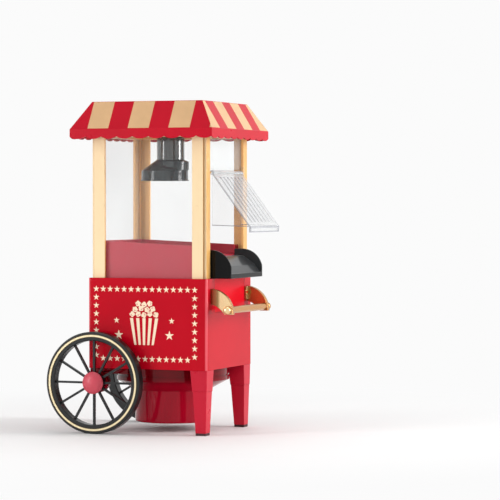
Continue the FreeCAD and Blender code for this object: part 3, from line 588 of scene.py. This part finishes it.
def meshPiece(name, verts, faces, body, paint, slot):
    mesh = bpy.data.meshes.new(name)
    mesh.from_pydata(verts, [], faces)
    mesh.update()
    piece = bpy.data.objects.new(name, mesh)
    bpy.context.scene.collection.objects.link(piece)
    mesh.materials.append(paint.material)
    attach(piece, body)


# inlays: flat outlines in millimetres, sunk a hair into the box front and standing a little proud of it
inlayLook = {"colour": linear(250, 226, 196), "rough": 0.36, "skin": 0.04, "drift": 0.07,
             "thick": 0.16, "sunk": 0.02}
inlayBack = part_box("body_shell")[0].y + inlayLook["sunk"] * mm


def inlay(verts, faces, outline, thick):
    first = len(verts)
    count = len(outline)
    for depth in (inlayBack, inlayBack - thick * mm):
        verts.extend((px * mm, depth, pz * mm) for px, pz in outline)
    faces.append([first + count + i for i in range(count)])
    faces.append([first + i for i in reversed(range(count))])
    for i in range(count):
        j = (i + 1) % count
        faces.append([first + i, first + j, first + count + j, first + count + i])


starLook = {"left": -68.6, "right": 63.6, "top": 178.4, "low": 96.4, "foot": 92.6, "across": 15,
            "down": 9, "size": 4.2, "points": 5, "notch": 0.39}


def starOutline(x, z, size):
    points = []
    for i in range(2 * starLook["points"]):
        reach = size if i % 2 == 0 else size * starLook["notch"]
        turn = math.pi / 2 + i * math.pi / starLook["points"]
        points.append((x + reach * math.cos(turn), z + reach * math.sin(turn)))
    return points


def starBorder():
    look = starLook
    spots = []
    for i in range(look["across"]):
        x = look["left"] + (look["right"] - look["left"]) * i / (look["across"] - 1)
        spots.append((x, look["top"]))
        if 0 < i < look["across"] - 1:
            spots.append((x, look["foot"]))
    for i in range(1, look["down"]):
        z = look["top"] + (look["low"] - look["top"]) * i / (look["down"] - 1)
        spots += [(look["left"], z), (look["right"], z)]
    verts, faces = [], []
    for x, z in spots:
        inlay(verts, faces, starOutline(x, z, look["size"]), inlayLook["thick"])
    meshPiece("star_border", verts, faces, "cart", plastic("starCream", inlayLook), "cream")


starBorder()
print("star border laid on the front")

# own plain print for the front: a striped carton heaped with puffs, between stars
cartonLook = {"x": -4.0, "low": 110.0, "rim": 143.0, "halfLow": 13.0, "halfRim": 19.0, "bands": 9,
              "rows": [(5, 147.6), (4, 154.2), (3, 160.4)], "gap": 7.9, "jitter": 0.7, "jitterTurn": 2.4,
              "stars": [(-34.0, 122.0, 6.2), (34.0, 122.0, 6.2),
                        (-37.0, 140.0, 4.0), (37.0, 140.0, 4.0)]}
puffLook = {"reach": 3.5, "points": 40, "lobes": 4, "turn": 1.3, "round": 0.6, "core": 0.74,
            "swell": 0.3, "lean": 0.05, "leanTurn": 2.1}
curlLook = {"radius": 0.5, "points": 15, "start": 150, "end": 300, "turn": 77, "wide": 0.6,
            "least": 0.05, "raised": 0.06}


# one puff: four or five uneven lobes
def puffOutline(px, pz, number):
    look = puffLook
    lobes = look["lobes"] + number % 2
    points = []
    for i in range(look["points"]):
        turn = 2 * math.pi * i / look["points"]
        swell = abs(math.cos(lobes * turn / 2 + number * look["turn"])) ** look["round"]
        lean = math.sin(turn + number * look["leanTurn"])
        reach = look["reach"] * (look["core"] + look["swell"] * swell + look["lean"] * lean)
        points.append((px + reach * math.cos(turn), pz + reach * math.sin(turn)))
    return points


# a curl that shades each puff
def curlOutline(px, pz, number):
    look = curlLook
    radius = puffLook["reach"] * look["radius"]
    outer, inner = [], []
    for i in range(look["points"]):
        part = i / (look["points"] - 1)
        turn = math.radians(look["start"] + (look["end"] - look["start"]) * part + number * look["turn"])
        inside = radius - look["wide"] * math.sin(math.pi * part) - look["least"]
        outer.append((px + radius * math.cos(turn), pz + radius * math.sin(turn)))
        inner.append((px + inside * math.cos(turn), pz + inside * math.sin(turn)))
    return outer + inner[::-1]


def carton():
    look = cartonLook
    thick = inlayLook["thick"]
    pale, red = ([], []), ([], [])
    for band in range(0, look["bands"], 2):
        left = band / look["bands"] * 2 - 1
        right = (band + 1) / look["bands"] * 2 - 1
        corners = [(left * look["halfLow"], look["low"]), (right * look["halfLow"], look["low"]),
                   (right * look["halfRim"], look["rim"]), (left * look["halfRim"], look["rim"])]
        inlay(*pale, [(look["x"] + px, pz) for px, pz in corners], thick)
    number = 0
    for count, level in look["rows"]:
        for i in range(count):
            px = look["x"] + (i - (count - 1) / 2) * look["gap"]
            pz = level + look["jitter"] * math.sin(number * look["jitterTurn"])
            inlay(*pale, puffOutline(px, pz, number), thick)
            inlay(*red, curlOutline(px, pz, number), thick + curlLook["raised"])
            number += 1
    for px, pz, size in look["stars"]:
        inlay(*pale, starOutline(look["x"] + px, pz, size), thick)
    meshPiece("carton_print", *pale, "cart", plastic("printCream", inlayLook), "cream")
    meshPiece("carton_lines", *red, "cart", boxPaint, "red_plastic")


carton()
print("carton print laid on the front")

# plain floor, backdrop and studio light
stageLook = {"reach": 9.0, "floor": (0.92, 0.92, 0.92, 1.0), "rough": 0.7, "cloud": 6.0, "cloudy": 0.985,
             "near": 0.2, "far": 0.7, "white": linear(251, 251, 251),
             "world": (0.29, 0.52), "lean": (0.75, 0.35, 0.55)}


def stagePaint():
    look = stageLook
    paint = Paint("paleFloor", Roughness=look["rough"])
    cloud = paint.blotch(paint.noise(look["cloud"], detail=3.0))
    paint.feed("Base Color", paint.mix(cloud, shade(look["floor"], look["cloudy"]), look["floor"]))
    x, y = paint.axes()[:2]
    away = paint.step((x * x + y * y) ** 0.5, look["near"], look["far"])
    paint.veil(away * paint.seen(), look["white"])
    return paint


def buildStage():
    reach = stageLook["reach"]
    corners = [(-reach, -reach, 0), (reach, -reach, 0), (reach, reach, 0), (-reach, reach, 0)]
    mesh = bpy.data.meshes.new("floor")
    mesh.from_pydata(corners, [], [(0, 1, 2, 3)])
    floor = bpy.data.objects.new("floor", mesh)
    bpy.context.scene.collection.objects.link(floor)
    mesh.materials.append(stagePaint().material)


# studio surround: dim on the camera side, brighter to the right and above, white where it is seen
class Surround(Paint):
    def __init__(self, name):
        world = bpy.data.worlds.new(name)
        bpy.context.scene.world = world
        world.use_nodes = True
        self.tree = world.node_tree
        self.tree.nodes.clear()
        self.output = self.tree.nodes.new("ShaderNodeOutputWorld")
        self.where = self.node("ShaderNodeTexCoord", out="Generated")

    def light(self, low, high):
        x, y, z = self.axes()
        right, back, above = stageLook["lean"]
        toward = (x * right + y * back + z * above).most(0.0)
        strength = toward * (high - low) + low
        soft = self.node("ShaderNodeBackground", None, {0: (1, 1, 1, 1), 1: strength})
        white = self.node("ShaderNodeBackground", None, {0: stageLook["white"], 1: 1.0})
        both = self.node("ShaderNodeMixShader", None, {0: self.seen(), 1: soft, 2: white})
        self.plug(self.output.inputs[0], both)


lampLook = {
    "keyBox": {"place": (-1.4, -1.55, 0.75), "aim": (0, 0, 0.25), "size": (0.62, 1.5), "power": 20.0},
    "fillBox": {"place": (2.05, 0.5, 0.75), "aim": (0, 0, 0.25), "size": (0.62, 1.5), "power": 38.0},
    "frontBox": {"place": (0.9, -2.3, 0.45), "aim": (0, 0, 0.25), "size": (1.2, 0.8), "power": 12.0,
                 "mirrored": False},
    "topBox": {"place": (0.0, 0.3, 2.2), "aim": (0, 0, 0.2), "size": (1.8, 1.8), "power": 17.0},
}


def softLamp(name, look):
    lamp = bpy.data.lights.new(name, "AREA")
    lamp.shape = "RECTANGLE"
    lamp.size, lamp.size_y = look["size"]
    lamp.energy = look["power"]
    holder = bpy.data.objects.new(name, lamp)
    bpy.context.scene.collection.objects.link(holder)
    place = Vector(look["place"])
    holder.location = place
    holder.rotation_euler = (Vector(look["aim"]) - place).to_track_quat("-Z", "Y").to_euler()
    holder.visible_glossy = look.get("mirrored", True)


buildStage()
Surround("studio").light(*stageLook["world"])
for lampName, lamp in lampLook.items():
    softLamp(lampName, lamp)

cameraLook = {"place": (1.2128, -2.8143, 0.2876), "yaw": 21.45, "pitch": -1.16,
              "focal": 2436.2, "frame": 500, "sensor": 36}  # focal and frame in pixels


def setCamera():
    look = cameraLook
    lens = bpy.data.cameras.new("photoCamera")
    lens.sensor_width = look["sensor"]
    lens.lens = look["focal"] / look["frame"] * look["sensor"]
    eye = bpy.data.objects.new("photoCamera", lens)
    bpy.context.scene.collection.objects.link(eye)
    eye.location = look["place"]
    eye.rotation_euler = (math.radians(90 + look["pitch"]), 0, math.radians(look["yaw"]))
    bpy.context.scene.camera = eye


setCamera()
bpy.context.scene.view_settings.view_transform = "Standard"
print("stage, lamps and camera set")
